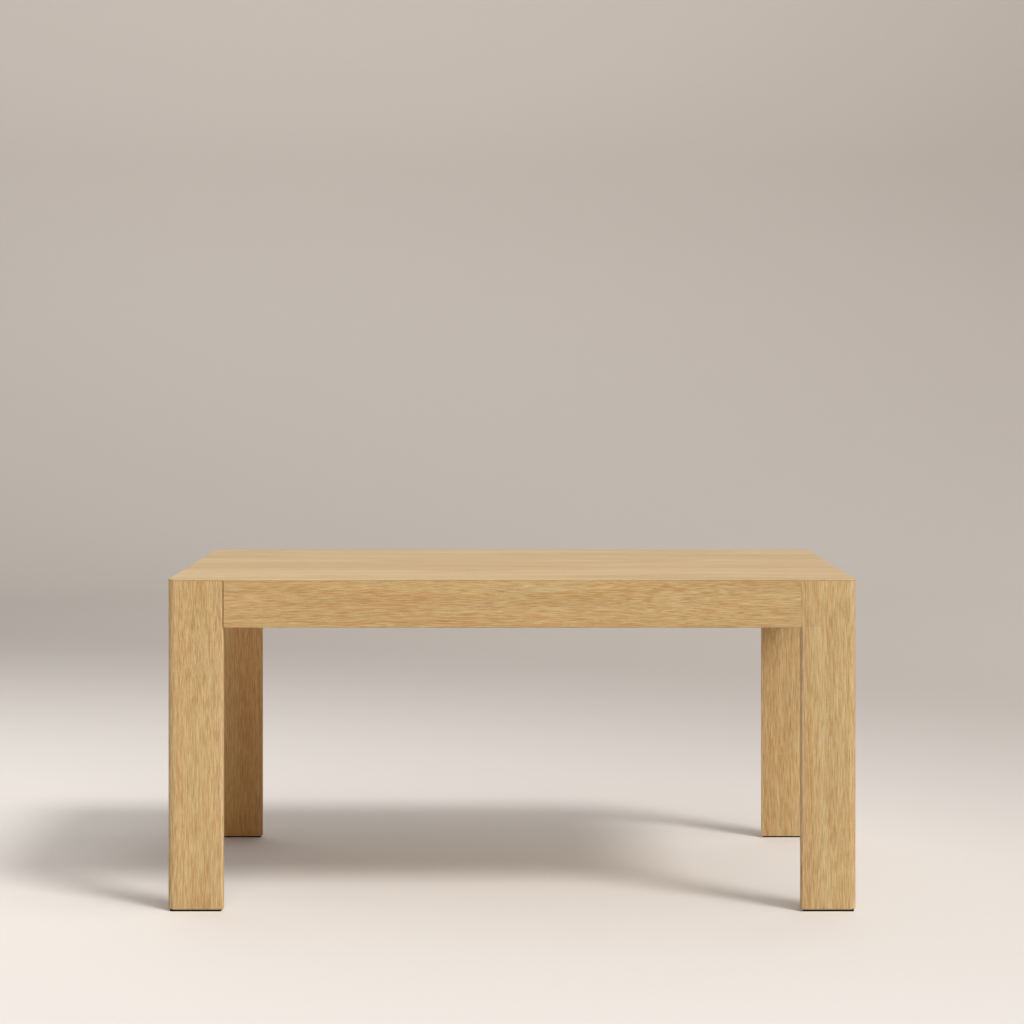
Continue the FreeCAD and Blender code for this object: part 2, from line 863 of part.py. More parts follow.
def save_cross_rails():
    bores = dowel_bores()
    save("cross_rail_left", bored(cross_rail(first_rail_x), bores))
    bush_hole = rod(vec(lock_x, 0, cross_rail_bottom - overrun), Z_AXIS,
                    cross_rail_thickness + 2 * overrun, plunger_radius + bush_wall)
    save("cross_rail_lock", bored(cross_rail(lock_x), bores + [bush_hole]))
    half = upper_rail_width / 2
    reach = inner_y - batten_thickness
    upper_rail = box((upper_rail_x - half, -reach, panel_bottom - upper_rail_height),
                     (upper_rail_x + half, reach, panel_bottom))
    save("cross_rail_top", bored(upper_rail, top_bores() + bores))


def save_front_and_rear(name, shape):
    save(name + "_front", shape)
    save(name + "_rear", across(shape))


def save_runners():
    save_front_and_rear("runner_outer", bored(make_outer_member(), outer_screws(screw_fit)))
    save_front_and_rear("runner_middle", make_middle_member())
    save_front_and_rear("runner_inner", bored(make_inner_member(), inner_screws(screw_fit)))
    save_front_and_rear("outer_ball_cage", make_cage(outer_cage_web, outer_row))
    save_front_and_rear("inner_ball_cage", make_cage(inner_cage_web, inner_row))
    save("runner_screws_main", grouped(both_sides(outer_screws())))
    save("runner_screws_end", grouped(both_sides(inner_screws())))


def save_beams():
    """Beams on the inner runner members, with the packers and blocks that tie them to the legs."""
    bolts = beam_bolts(screw_fit)
    beam = box((-inner_x, -beam_outer_y, carriage_bottom), (beam_right, -beam_inner_y, beam_top))
    bores = carriage_screws(screw_fit) + carriage_screw_recesses() + inner_screws(screw_fit) + bolts
    save_front_and_rear("beam", bored(beam, bores))
    packer = box((-inner_x, -inner_y, carriage_bottom), (-leg_x, -beam_outer_y, beam_top))
    save("beam_packers", grouped(both_sides([bored(packer, bolts)])))
    save("beam_bolts", grouped(both_sides(beam_bolts())))
    block = corner_block(-inner_x, -beam_inner_y, carriage_bottom, beam_top)
    save("corner_blocks_end", grouped(both_sides([block])))
    reach = beam_inner_y - block_size - batten_end_gap
    batten = box((-inner_x, -reach, batten_bottom), (-inner_x + batten_thickness, reach, beam_top))
    save("batten_left", batten)


def save_carriage():
    bores = both_sides(carriage_screws(screw_fit))
    save("carriage_rail_outer", bored(carriage_rail(outer_rail_x), bores))
    save("carriage_rail_inner", bored(carriage_rail(lock_x), bores + [lock_hole(lock_x)]))
    save("carriage_rail_end", bored(carriage_rail(end_rail_x), bores + [lock_hole(end_rail_x)]))
    save("carriage_screws", grouped(both_sides(carriage_screws())))


def save_leaf():
    half = make_leaf_half()
    save("leaf_half_lower", half)
    save("leaf_half_upper", folded(half))
    save("leaf_hinge_plates", both_halves(make_hinge_plates()))
    save("leaf_hinge_pins", both_halves(make_hinge_pins()))
    save("leaf_hinge_links", make_hinge_links())
    save("leaf_hinge_screws", both_halves(hinge_screws()))
    save("leaf_pads", make_leaf_pads())
    cleats = []
    near = fold_y + cleat_clearance
    for x in (outer_rail_x, lock_x):
        cleat = box((x - carriage_rail_width / 2, near, leaf_bottom),
                    (x + carriage_rail_width / 2, near + cleat_thickness, leaf_bottom + cleat_height))
        cleats += both_sides([cleat])
    save("leaf_cleats", grouped(cleats))


def save_lock():
    save("lock_bush", make_bush())
    save("lock_plunger", make_plunger())
    save("lock_knob", make_knob())


os.makedirs("parts", exist_ok=True)
save_dowels()
save_top()
save_legs()
save_glides()
save_aprons()
save_main_battens()
save_cross_rails()
save_runners()
save_beams()
save_carriage()
save_leaf()
save_lock()
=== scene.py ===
import math

import bmesh
import bpy
from mathutils import Matrix, Vector


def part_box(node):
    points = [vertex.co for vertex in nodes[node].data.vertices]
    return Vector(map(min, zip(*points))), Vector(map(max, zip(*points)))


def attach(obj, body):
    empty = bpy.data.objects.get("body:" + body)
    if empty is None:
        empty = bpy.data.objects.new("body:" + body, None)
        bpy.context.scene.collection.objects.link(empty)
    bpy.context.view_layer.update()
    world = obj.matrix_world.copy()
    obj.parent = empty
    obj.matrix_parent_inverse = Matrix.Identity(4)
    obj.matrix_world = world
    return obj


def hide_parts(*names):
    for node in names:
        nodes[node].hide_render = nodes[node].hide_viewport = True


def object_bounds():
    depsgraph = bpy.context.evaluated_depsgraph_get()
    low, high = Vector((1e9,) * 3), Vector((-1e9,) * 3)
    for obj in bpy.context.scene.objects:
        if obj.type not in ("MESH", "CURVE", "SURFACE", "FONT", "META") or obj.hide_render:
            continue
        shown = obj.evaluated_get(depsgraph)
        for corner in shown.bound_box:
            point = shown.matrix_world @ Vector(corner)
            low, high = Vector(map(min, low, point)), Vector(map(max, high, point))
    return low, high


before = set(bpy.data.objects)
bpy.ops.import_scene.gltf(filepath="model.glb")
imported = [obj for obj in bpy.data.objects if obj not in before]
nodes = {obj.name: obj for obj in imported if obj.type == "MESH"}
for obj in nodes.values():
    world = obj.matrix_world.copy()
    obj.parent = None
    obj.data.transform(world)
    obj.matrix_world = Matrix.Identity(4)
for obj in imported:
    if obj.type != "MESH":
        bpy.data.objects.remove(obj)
cad_low, cad_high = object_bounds()

MM = 0.001

# Sizes of the boards that are modelled again here, as the table's maker gives them
LIP = 4 * MM
PANEL_INSET = 21 * MM
CORNER_ROUND = 18 * MM
LIP_ARRIS = 2.4 * MM
LIP_UNDER_ARRIS = 0.3 * MM
PANEL_ARRIS = 0.8 * MM
LEG_EDGE_ROUND = 6 * MM
LEG_FOOT_ROUND = 3.5 * MM
APRON_ARRIS = 2 * MM
APRON_TOP_ARRIS = 0.4 * MM
NEAR = 0.01 * MM

# How many flats make up each rounding, and the angles below which shading runs on over an edge
TOP_CORNER_FLATS = 12
LEG_CORNER_FLATS = 16
LEG_EDGE_FLATS = 6
LEG_FOOT_FLATS = 5
ARRIS_FLATS = 4
PANEL_ARRIS_FLATS = 3
FINE_ARRIS_FLATS = 2
BOARD_SMOOTH_ANGLE = math.radians(50)
STUDIO_SMOOTH_ANGLE = math.radians(40)

# The camera stands level in front of the table, as far off as the perspective of the top says
CAMERA_DISTANCE = 5.564
CAMERA_HEIGHT = 1.2625
CAMERA_LENS = 84.25
CAMERA_SENSOR = 36
CAMERA_SHIFT_Y = -0.1407

# Studio: a round floor that curves up into a low wall, a soft lamp high at the front right, wide soft
# light around it and behind the table, and a faint sky
FLOOR_RADIUS = 7.4
FLOOR_SIDES = 128
WALL_CURVE = 2.6
WALL_CURVE_STEPS = 10
WALL_HEIGHT = 4.2
# Painted light in the studio paint: a painted pool of light before the table, painted fall-off away from it,
# a painted change of brightness up the wall and painted shade towards the left
LIGHT_POOL_PAINT = (0.730, 0.692, 0.658)
FALLOFF_SHADE_PAINT = (0.385, 0.353, 0.326)
WALL_PAINT = (0.588, 0.540, 0.500)
LIGHT_POOL_CENTRE = (-4.8, -6.0, 0.0)
LIGHT_POOL_START = 6.85
LIGHT_POOL_END = 11.7
SIDE_SHADE_TILT = 0.055
LAMPS = {
    "main_lamp": {"direction": (0.52, -0.44, 0.73), "width": 16, "strength": 1.92},
    "wide_lamp": {"direction": (0.52, -0.52, 0.67), "width": 80, "strength": 2.32},
    "rear_lamp": {"direction": (0.0, 0.70, 0.71), "width": 80, "strength": 1.20},
}
LAMP_COLOUR = (1.0, 0.985, 0.965)
SKY_STRENGTH = 0.06
SKY_COLOUR = (1.0, 0.995, 0.99)


# Shaping a piece as by hand: a block at its size, then edit-mode steps on picked edges and faces

def pick_piece(piece):
    """The piece alone is selected and active."""
    bpy.ops.object.select_all(action="DESELECT")
    bpy.context.view_layer.objects.active = piece
    piece.select_set(True)


def add_block(name, low, high):
    """A block between two corners, alone in the selection."""
    bpy.ops.object.select_all(action="DESELECT")
    bpy.ops.mesh.primitive_cube_add(size=1, location=(low + high) / 2)
    block = bpy.context.object
    block.name = block.data.name = name
    block.scale = high - low
    bpy.ops.object.transform_apply(location=True, rotation=True, scale=True)
    return block


def start_shaping(piece):
    pick_piece(piece)
    bpy.ops.object.mode_set(mode="EDIT")


def stop_shaping():
    bpy.ops.object.mode_set(mode="OBJECT")


def pick_edges(piece, wanted):
    """Selects the edges whose two ends pass a test."""
    bpy.ops.mesh.select_mode(type="EDGE")
    bpy.ops.mesh.select_all(action="DESELECT")
    mesh = bmesh.from_edit_mesh(piece.data)
    for edge in mesh.edges:
        if wanted(edge.verts[0].co) and wanted(edge.verts[1].co):
            edge.select_set(True)
    bmesh.update_edit_mesh(piece.data)


def leave_out(piece, unwanted):
    """Takes picked edges out of the selection again, by a test on their two ends."""
    mesh = bmesh.from_edit_mesh(piece.data)
    for edge in mesh.edges:
        if edge.select and unwanted(edge.verts[0].co, edge.verts[1].co):
            edge.select_set(False)
    bmesh.update_edit_mesh(piece.data)


def pick_faces(piece, wanted):
    """Selects the faces whose normal and middle pass a test."""
    bpy.ops.mesh.select_mode(type="FACE")
    bpy.ops.mesh.select_all(action="DESELECT")
    mesh = bmesh.from_edit_mesh(piece.data)
    mesh.normal_update()
    for face in mesh.faces:
        if wanted(face.normal, face.calc_center_median()):
            face.select_set(True)
    bmesh.update_edit_mesh(piece.data)


def round_picked(radius, flats):
    bpy.ops.mesh.bevel(offset=radius, segments=flats, profile=0.5, affect="EDGES", clamp_overlap=False)


def extrude_picked(step):
    bpy.ops.mesh.extrude_region_move(TRANSFORM_OT_translate={"value": step, "orient_type": "GLOBAL"})


def cut_through(place, normal):
    """A cut through the whole piece at a plane. Both sides stay."""
    bpy.ops.mesh.select_all(action="SELECT")
    bpy.ops.mesh.bisect(plane_co=place, plane_no=normal, threshold=NEAR)


def even_shading(piece):
    """Flat faces stay flat to the light and only the rounded edges turn it."""
    pick_piece(piece)
    bpy.ops.object.shade_smooth_by_angle(angle=BOARD_SMOOTH_ANGLE)
    piece.modifiers.new("even_shading", "WEIGHTED_NORMAL").keep_sharp = True
    bpy.ops.object.modifier_apply(modifier="even_shading")


def copied(piece, name, matrix):
    """A copy with its own mesh, turned or mirrored by a matrix, its faces still outwards."""
    twin = piece.copy()
    twin.data = piece.data.copy()
    twin.name = twin.data.name = name
    bpy.context.scene.collection.objects.link(twin)
    twin.data.transform(matrix)
    if matrix.determinant() < 0:
        twin.data.flip_normals()
    return twin


def dress(piece, body, slot, finish, *stands_for):
    """The piece rides on its body, takes its finish and stands for its CAD nodes."""
    even_shading(piece)
    piece.data.materials.clear()
    piece.data.materials.append(finish)
    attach(piece, body)
    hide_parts(*stands_for)


# Mixing a finish from shader nodes. The colour sockets of a Mix node go by number.

MIX_SHARE, MIX_FIRST, MIX_SECOND, MIX_RESULT = 0, 6, 7, 2


class Recipe:
    """The shader nodes of one finish."""

    def __init__(self, name):
        self.material = bpy.data.materials.new(name)
        self.material.use_nodes = True
        self.tree = self.material.node_tree
        self.shader = self.tree.nodes["Principled BSDF"]

    def feed(self, socket, value):
        if isinstance(value, bpy.types.NodeSocket):
            self.tree.links.new(value, socket)
        else:
            socket.default_value = value

    def add(self, kind, sockets, **settings):
        node = self.tree.nodes.new(kind)
        for key, value in settings.items():
            setattr(node, key, value)
        for key, value in sockets.items():
            self.feed(node.inputs[key], value)
        return node

    def coordinates(self, kind):
        return self.add("ShaderNodeTexCoord", {}).outputs[kind]

    def place(self, shift=(0, 0, 0)):
        """Object coordinates, moved so that a pattern starts where the piece is."""
        node = self.add("ShaderNodeMapping", {"Vector": self.coordinates("Object"), "Location": shift})
        return node.outputs[0]

    def split(self, vector):
        return self.add("ShaderNodeSeparateXYZ", {"Vector": vector}).outputs

    def join(self, x, y, z):
        return self.add("ShaderNodeCombineXYZ", {"X": x, "Y": y, "Z": z}).outputs[0]

    def math(self, operation, a, b=0.0):
        return self.add("ShaderNodeMath", {0: a, 1: b}, operation=operation).outputs[0]

    def vector(self, operation, a, b=(0, 0, 0)):
        node = self.add("ShaderNodeVectorMath", {0: a, 1: b}, operation=operation)
        return node.outputs["Value" if operation == "LENGTH" else "Vector"]

    def noise_node(self, vector, scale=1.0, detail=2.0, roughness=0.5):
        sockets = {"Vector": vector, "Scale": scale, "Detail": detail, "Roughness": roughness}
        return self.add("ShaderNodeTexNoise", sockets)

    def noise(self, vector, **settings):
        """A number that wanders about a half."""
        return self.noise_node(vector, **settings).outputs[0]

    def stretched(self, vector, stretch, **settings):
        """Such a number, finer in some directions than in others."""
        return self.noise(self.vector("MULTIPLY", vector, stretch), **settings)

    def swing(self, vector, stretch):
        """Three such numbers at once, as a vector about zero."""
        colour = self.noise_node(self.vector("MULTIPLY", vector, stretch), detail=1.5).outputs[1]
        return self.vector("SUBTRACT", colour, (0.5, 0.5, 0.5))

    def remap(self, value, low, high, to_low=0.0, to_high=1.0, curve="SMOOTHSTEP"):
        sockets = {"Value": value, "From Min": low, "From Max": high, "To Min": to_low, "To Max": to_high}
        return self.add("ShaderNodeMapRange", sockets, interpolation_type=curve).outputs[0]

    def mix(self, share, first, second, blend="MIX"):
        """One colour over another; a colour is (r, g, b) or a socket."""
        first, second = (c if isinstance(c, bpy.types.NodeSocket) else (*c, 1) for c in (first, second))
        sockets = {MIX_SHARE: share, MIX_FIRST: first, MIX_SECOND: second}
        return self.add("ShaderNodeMix", sockets, data_type="RGBA", blend_type=blend).outputs[MIX_RESULT]

    def tinted(self, colour, tint):
        return self.mix(1.0, colour, tint, blend="MULTIPLY")

    def grey(self, value):
        """A number as a grey colour, for multiplying."""
        return self.join(value, value, value)

    def bump(self, height, distance, strength):
        node = self.add("ShaderNodeBump", {"Strength": strength, "Distance": distance, "Height": height})
        return node.outputs[0]

    def finish(self, **sockets):
        for key, value in sockets.items():
            self.feed(self.shader.inputs[key.replace("_", " ")], value)
        return self.material


# A band is the part of a noise's range over which it goes from nothing to all
WIDE_BAND = (0.3, 0.7)
NARROW_BAND = (0.35, 0.65)


# Woods. A board's grain runs along its longest side and its pith lies behind its thinnest.

OAK = {
    "ring": 6.5 * MM,
    "line": 1.25 * MM,
    "dash": 44 * MM,
    "wander": 50 * MM,
    "light": (0.653, 0.500, 0.261),
    "dark": (0.376, 0.194, 0.047),
    "fleck": (0.307, 0.148, 0.043),
    "pale_share": (1.03, 1.06, 1.09),
    "deep_share": (0.97, 0.93, 0.89),
    "line_share": 0.80,
    "fleck_share": 0.45,
    "pore": 0.20,
    "roughness": 0.46,
}
APRON_OAK = {
    **OAK,
    "light": (0.636, 0.484, 0.249),
    "dark": (0.396, 0.213, 0.057),
}
# Painted shade: the rear left leg's oak is darker towards its foot and lighter towards its head, shade and
# light painted into its colour
PAINTED_SHADE_OAK = {
    **OAK,
    "painted_shade_foot_share": (0.82, 0.64, 0.41),
    "painted_light_head_share": (1.20, 1.10, 0.89),
}
TOP_OAK = {
    **OAK,
    "line": 2.0 * MM,
    "dash": 110 * MM,
    "light": (0.545, 0.398, 0.197),
    "dark": (0.422, 0.264, 0.100),
    "fleck": (0.376, 0.222, 0.084),
    "pale_share": (1.035, 1.055, 1.07),
    "deep_share": (0.950, 0.920, 0.895),
    "line_share": 0.50,
    "fleck_share": 0.40,
    "roughness": 0.50,
}
BEECH = {
    **OAK,
    "ring": 4.2 * MM,
    "line": 1.6 * MM,
    "dash": 9 * MM,
    "wander": 30 * MM,
    "light": (0.620, 0.448, 0.282),
    "dark": (0.500, 0.333, 0.195),
    "fleck": (0.390, 0.225, 0.115),
    "line_share": 0.35,
    "pore": 0.10,
    "roughness": 0.58,
}
YELLOW_SHARE = (0.980, 1.0, 1.025)
PINK_SHARE = (1.025, 1.0, 0.975)

# How fine each pattern is along the grain, across it and through it: turns of its noise in a metre, and
# for the flecks in a dash and in a line
SWAY_STRETCH = (0.9, 3.5, 3.5)
RIPPLE_STRETCH = (9, 45, 45)
RIPPLE_REACH = 1.5 * MM
FLECK_STRETCH = (1.7, 0.8, 0.8)
PORE_STRETCH = (110, 2400, 2400)
CLOUD_STRETCH = (0.8, 14, 14)
HUE_STRETCH = (5, 60, 60)
YEAR_CHANGE = 1.5
YEAR_LAYER = 0.3
LINE_BAND = (0.28, 0.72)
YEAR_BAND = (0.32, 0.70)
FLECK_BAND = (0.60, 0.76)
PORE_BAND = (0.54, 0.66)
EARLY_WOOD_BAND = (0.35, 0.95)
LATE_WOOD_PORES = 0.3

# Where the surface is end grain or worn, and what that and the grain do to its tone and its roughness
END_GRAIN_BAND = (0.6, 0.9)
END_GRAIN_TONE = -0.22
WEAR_BAND = (0.35, 0.6)
WEAR_SCALE = 23
WEAR_WIDTH = 4 * MM
WEAR_TONE = 0.06
DARK_ROUGHNESS = 0.06
PORE_ROUGHNESS = 0.12
END_GRAIN_ROUGHNESS = 0.15
WEAR_ROUGHNESS = -0.08
LINE_HEIGHT = 0.5
GRAIN_DEPTH = 0.12 * MM

# Boards come from their own stretches of wood, and staves of a glued-up top differ in tone too
BOARD_STEP = 3.7
BOARD_PITH = (12 * MM, -75 * MM)
TOP_PITH = (10 * MM, -160 * MM)
TOP_STAVES = 6
STAVE_STEP = 2.3
STAVE_START = 1730
STAVE_TONES = (0.94, 1.055)
MIDDLE_TONE = 0.5


def grain_axes(low, high):
    """Axes of a board: along the grain, across its face and through it."""
    size = high - low
    return sorted(range(3), key=lambda axis: size[axis], reverse=True)


def worn_edges(recipe, spots, sizes):
    """How near a point lies to an edge of the board, in patches."""
    near = [recipe.remap(recipe.math("ABSOLUTE", spot), size / 2 - WEAR_WIDTH, size / 2)
            for spot, size in zip(spots, sizes)]
    pairs = [recipe.math("MULTIPLY", near[a], near[b]) for a, b in ((0, 1), (1, 2), (0, 2))]
    edge = recipe.math("MAXIMUM", recipe.math("MAXIMUM", pairs[0], pairs[1]), pairs[2])
    patch = recipe.noise(recipe.join(*spots), scale=WEAR_SCALE, detail=2)
    return recipe.math("MULTIPLY", edge, recipe.remap(patch, *WEAR_BAND))


def lay_staves(recipe, u, v, stave_width):
    """Places along and across the grain within each stave, and the stave's tone."""
    row = recipe.math("FLOOR", recipe.math("DIVIDE", v, stave_width))
    number = recipe.math("ADD", row, STAVE_START)
    tone = recipe.add("ShaderNodeTexWhiteNoise", {"W": number}, noise_dimensions="1D").outputs[0]
    middle = recipe.math("MULTIPLY", recipe.math("ADD", row, 0.5), stave_width)
    v = recipe.math("SUBTRACT", v, middle)
    u = recipe.math("ADD", u, recipe.math("MULTIPLY", row, STAVE_STEP))
    return u, v, tone


def from_pith(recipe, place, pith, wander):
    """Where a point lies from the pith, which sways slowly and ripples a little."""
    way = recipe.vector("SUBTRACT", place, (0, *pith))
    for stretch, reach in ((SWAY_STRETCH, wander), (RIPPLE_STRETCH, RIPPLE_REACH)):
        swing = recipe.swing(place, stretch)
        way = recipe.vector("ADD", way, recipe.vector("MULTIPLY", swing, (0, reach, reach)))
    return way


def wood_colour(recipe, kind, place, darker, fleck):
    """Light wood, darker along its lines and years, with flecks, pale and deep clouds and changes of hue."""
    colour = recipe.mix(darker, kind["light"], kind["dark"])
    fleck_share = recipe.math("MULTIPLY", recipe.remap(fleck, *FLECK_BAND), kind["fleck_share"])
    colour = recipe.mix(fleck_share, colour, kind["fleck"])
    for stretch, first, last in ((CLOUD_STRETCH, kind["pale_share"], kind["deep_share"]),
                                 (HUE_STRETCH, YELLOW_SHARE, PINK_SHARE)):
        where = recipe.remap(recipe.stretched(place, stretch, detail=2), *WIDE_BAND)
        colour = recipe.tinted(colour, recipe.mix(where, first, last))
    return colour


def wood(name, kind, low, high, seed, pith=BOARD_PITH, staves=0):
    """Solid wood: rings round a wandering pith with dashes, flecks and pores, end grain and wear, and on
    some boards painted shade towards the foot.
    """
    recipe = Recipe(name)
    axes = grain_axes(low, high)
    along, across = axes[:2]
    spot = recipe.split(recipe.place(-(low + high) / 2))
    spots = [spot[axis] for axis in axes]
    wear = worn_edges(recipe, spots, [(high - low)[axis] for axis in axes])
    u, v, w = spots
    u = recipe.math("ADD", u, BOARD_STEP * seed)
    tone = MIDDLE_TONE
    if staves:
        u, v, tone = lay_staves(recipe, u, v, (high - low)[across] / staves)
    place = recipe.join(u, v, w)
    way = from_pith(recipe, place, pith, kind["wander"])

    grain = recipe.vector("MULTIPLY", way, (1 / kind["dash"], 1 / kind["line"], 1 / kind["line"]))
    lines = recipe.noise(grain, detail=2, roughness=0.55)
    fleck = recipe.stretched(grain, FLECK_STRETCH, detail=2, roughness=0.6)
    across_rings = recipe.vector("LENGTH", recipe.vector("MULTIPLY", way, (0, 1, 1)))
    ring = recipe.math("DIVIDE", across_rings, kind["ring"])
    year_place = recipe.join(ring, recipe.math("MULTIPLY", u, YEAR_CHANGE), YEAR_LAYER)
    year = recipe.noise(year_place, detail=3, roughness=0.6)
    early_wood = recipe.remap(recipe.math("FRACT", ring), *EARLY_WOOD_BAND)
    pores = recipe.remap(recipe.stretched(place, PORE_STRETCH, detail=1), *PORE_BAND)
    pore_depth = recipe.math("MULTIPLY", pores, recipe.math("ADD", early_wood, LATE_WOOD_PORES))
    facing = recipe.split(recipe.coordinates("Normal"))[along]
    end_grain = recipe.remap(recipe.math("ABSOLUTE", facing), *END_GRAIN_BAND)
    darker = recipe.math("ADD", recipe.math("MULTIPLY", recipe.remap(lines, *LINE_BAND), kind["line_share"]),
                         recipe.math("MULTIPLY", recipe.remap(year, *YEAR_BAND), 1 - kind["line_share"]))

    colour = wood_colour(recipe, kind, place, darker, fleck)
    # Painted shade: a darker colour towards the board's foot and a lighter one towards its head
    if "painted_shade_foot_share" in kind:
        half = (high - low)[along] / 2
        up = recipe.remap(spots[0], -half, half, curve="LINEAR")
        colour = recipe.tinted(colour, recipe.mix(up, kind["painted_shade_foot_share"], kind["painted_light_head_share"]))
    level = recipe.remap(tone, 0, 1, *STAVE_TONES, curve="LINEAR")
    for share, change in ((pore_depth, -kind["pore"]), (end_grain, END_GRAIN_TONE), (wear, WEAR_TONE)):
        factor = recipe.math("ADD", 1.0, recipe.math("MULTIPLY", share, change))
        level = recipe.math("MULTIPLY", level, factor)
    colour = recipe.tinted(colour, recipe.grey(level))
    rough = kind["roughness"]
    for share, change in ((darker, DARK_ROUGHNESS), (pore_depth, PORE_ROUGHNESS),
                          (end_grain, END_GRAIN_ROUGHNESS), (wear, WEAR_ROUGHNESS)):
        rough = recipe.math("ADD", rough, recipe.math("MULTIPLY", share, change))
    height = recipe.math("SUBTRACT", recipe.math("MULTIPLY", lines, LINE_HEIGHT), pore_depth)
    return recipe.finish(Base_Color=colour, Roughness=rough, Coat_Weight=0.06, Coat_Roughness=0.4,
                         Normal=recipe.bump(height, distance=GRAIN_DEPTH, strength=0.35))


def board_wood(name, kind, node, seed):
    low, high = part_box(node)
    return wood(name, kind, low, high, seed)


# Metals, plastics and felt

ZINC_CLOUD_SCALE = 90
ZINC_BLUISH = (0.55, 0.565, 0.58)
ZINC_BRIGHT = (0.66, 0.67, 0.67)
ZINC_ROUGHNESS = (0.24, 0.38)
ZINC_DRAW_STRETCH = (25, 2200, 2200)
ZINC_DRAW_ROUGHNESS = 0.1
METAL_LINE_DEPTH = 0.02 * MM
BRASS_CLOUD_SCALE = 140
BRASS_CLEAN = (0.80, 0.60, 0.28)
BRASS_TARNISHED = (0.56, 0.39, 0.16)
BRASS_TARNISH_BAND = (0.35, 0.7)
BRASS_ROUGHNESS = (0.26, 0.42)
BRASS_TURN_STRETCH = (60, 60, 2500)
GLIDE_PLASTIC = {"roughness": 0.65, "grain": 900, "gloss": 0.2}
KNOB_PLASTIC = {"roughness": 0.38, "grain": 1400, "gloss": 0.5}
PLASTIC_BLACK = (0.009, 0.009, 0.010)
PLASTIC_SCUFFED = (0.028, 0.027, 0.026)
PLASTIC_SMOOTHER = 0.05
PLASTIC_ROUGHER = 0.08
SCUFF_STRETCH = (900, 60, 400)
SCUFF_BAND = (0.62, 0.7)
SCUFF_ROUGHNESS = 0.12
PLASTIC_GRAIN_DEPTH = 0.05 * MM
FELT_FIBRE_SCALE = 2600
FELT_PATCH_SCALE = 240
FELT_DARK = (0.30, 0.285, 0.255)
FELT_LIGHT = (0.47, 0.45, 0.41)
FELT_PATCH_TONES = (0.88, 1.08)
FELT_DEPTH = 0.2 * MM


def zinc_steel():
    """Zinc plate on rolled steel: fine draw lines along the table and cloudy patches."""
    recipe = Recipe("zinc_plate")
    spot = recipe.place()
    cloud = recipe.noise(spot, scale=ZINC_CLOUD_SCALE, detail=3)
    lines = recipe.stretched(spot, ZINC_DRAW_STRETCH, detail=2)
    colour = recipe.mix(recipe.remap(cloud, *NARROW_BAND), ZINC_BLUISH, ZINC_BRIGHT)
    rough = recipe.math("ADD", recipe.remap(cloud, *WIDE_BAND, *ZINC_ROUGHNESS),
                        recipe.math("MULTIPLY", lines, ZINC_DRAW_ROUGHNESS))
    return recipe.finish(Base_Color=colour, Metallic=1.0, Roughness=rough,
                         Normal=recipe.bump(lines, distance=METAL_LINE_DEPTH, strength=0.4))


def brass():
    """Turned brass, slightly tarnished in patches."""
    recipe = Recipe("turned_brass")
    spot = recipe.place()
    cloud = recipe.noise(spot, scale=BRASS_CLOUD_SCALE, detail=3)
    turned = recipe.stretched(spot, BRASS_TURN_STRETCH, detail=1)
    colour = recipe.mix(recipe.remap(cloud, *BRASS_TARNISH_BAND), BRASS_CLEAN, BRASS_TARNISHED)
    rough = recipe.remap(cloud, *WIDE_BAND, *BRASS_ROUGHNESS)
    return recipe.finish(Base_Color=colour, Metallic=1.0, Roughness=rough,
                         Normal=recipe.bump(turned, distance=METAL_LINE_DEPTH, strength=0.5))


def black_plastic(name, roughness, grain, gloss):
    """Moulded black plastic with a fine grain and a few scuffs."""
    recipe = Recipe(name)
    spot = recipe.place()
    texture = recipe.noise(spot, scale=grain, detail=2)
    scuff = recipe.remap(recipe.stretched(spot, SCUFF_STRETCH, detail=2), *SCUFF_BAND)
    colour = recipe.mix(scuff, PLASTIC_BLACK, PLASTIC_SCUFFED)
    rough = recipe.remap(texture, *WIDE_BAND, roughness - PLASTIC_SMOOTHER, roughness + PLASTIC_ROUGHER)
    rough = recipe.math("ADD", rough, recipe.math("MULTIPLY", scuff, SCUFF_ROUGHNESS))
    return recipe.finish(Base_Color=colour, Roughness=rough, Specular_IOR_Level=gloss,
                         Normal=recipe.bump(texture, distance=PLASTIC_GRAIN_DEPTH, strength=0.5))


def felt():
    """Pressed wool felt: short fibres in every direction."""
    recipe = Recipe("pressed_felt")
    spot = recipe.place()
    fibres = recipe.noise(spot, scale=FELT_FIBRE_SCALE, detail=4, roughness=0.7)
    patch = recipe.noise(spot, scale=FELT_PATCH_SCALE, detail=2)
    colour = recipe.mix(recipe.remap(fibres, *NARROW_BAND), FELT_DARK, FELT_LIGHT)
    colour = recipe.tinted(colour, recipe.grey(recipe.remap(patch, *WIDE_BAND, *FELT_PATCH_TONES)))
    return recipe.finish(Base_Color=colour, Roughness=0.95, Sheen_Weight=0.4, Sheen_Roughness=0.5,
                         Normal=recipe.bump(fibres, distance=FELT_DEPTH, strength=0.6))


# The one-piece top: a thin lip over a panel that drops inside the aprons

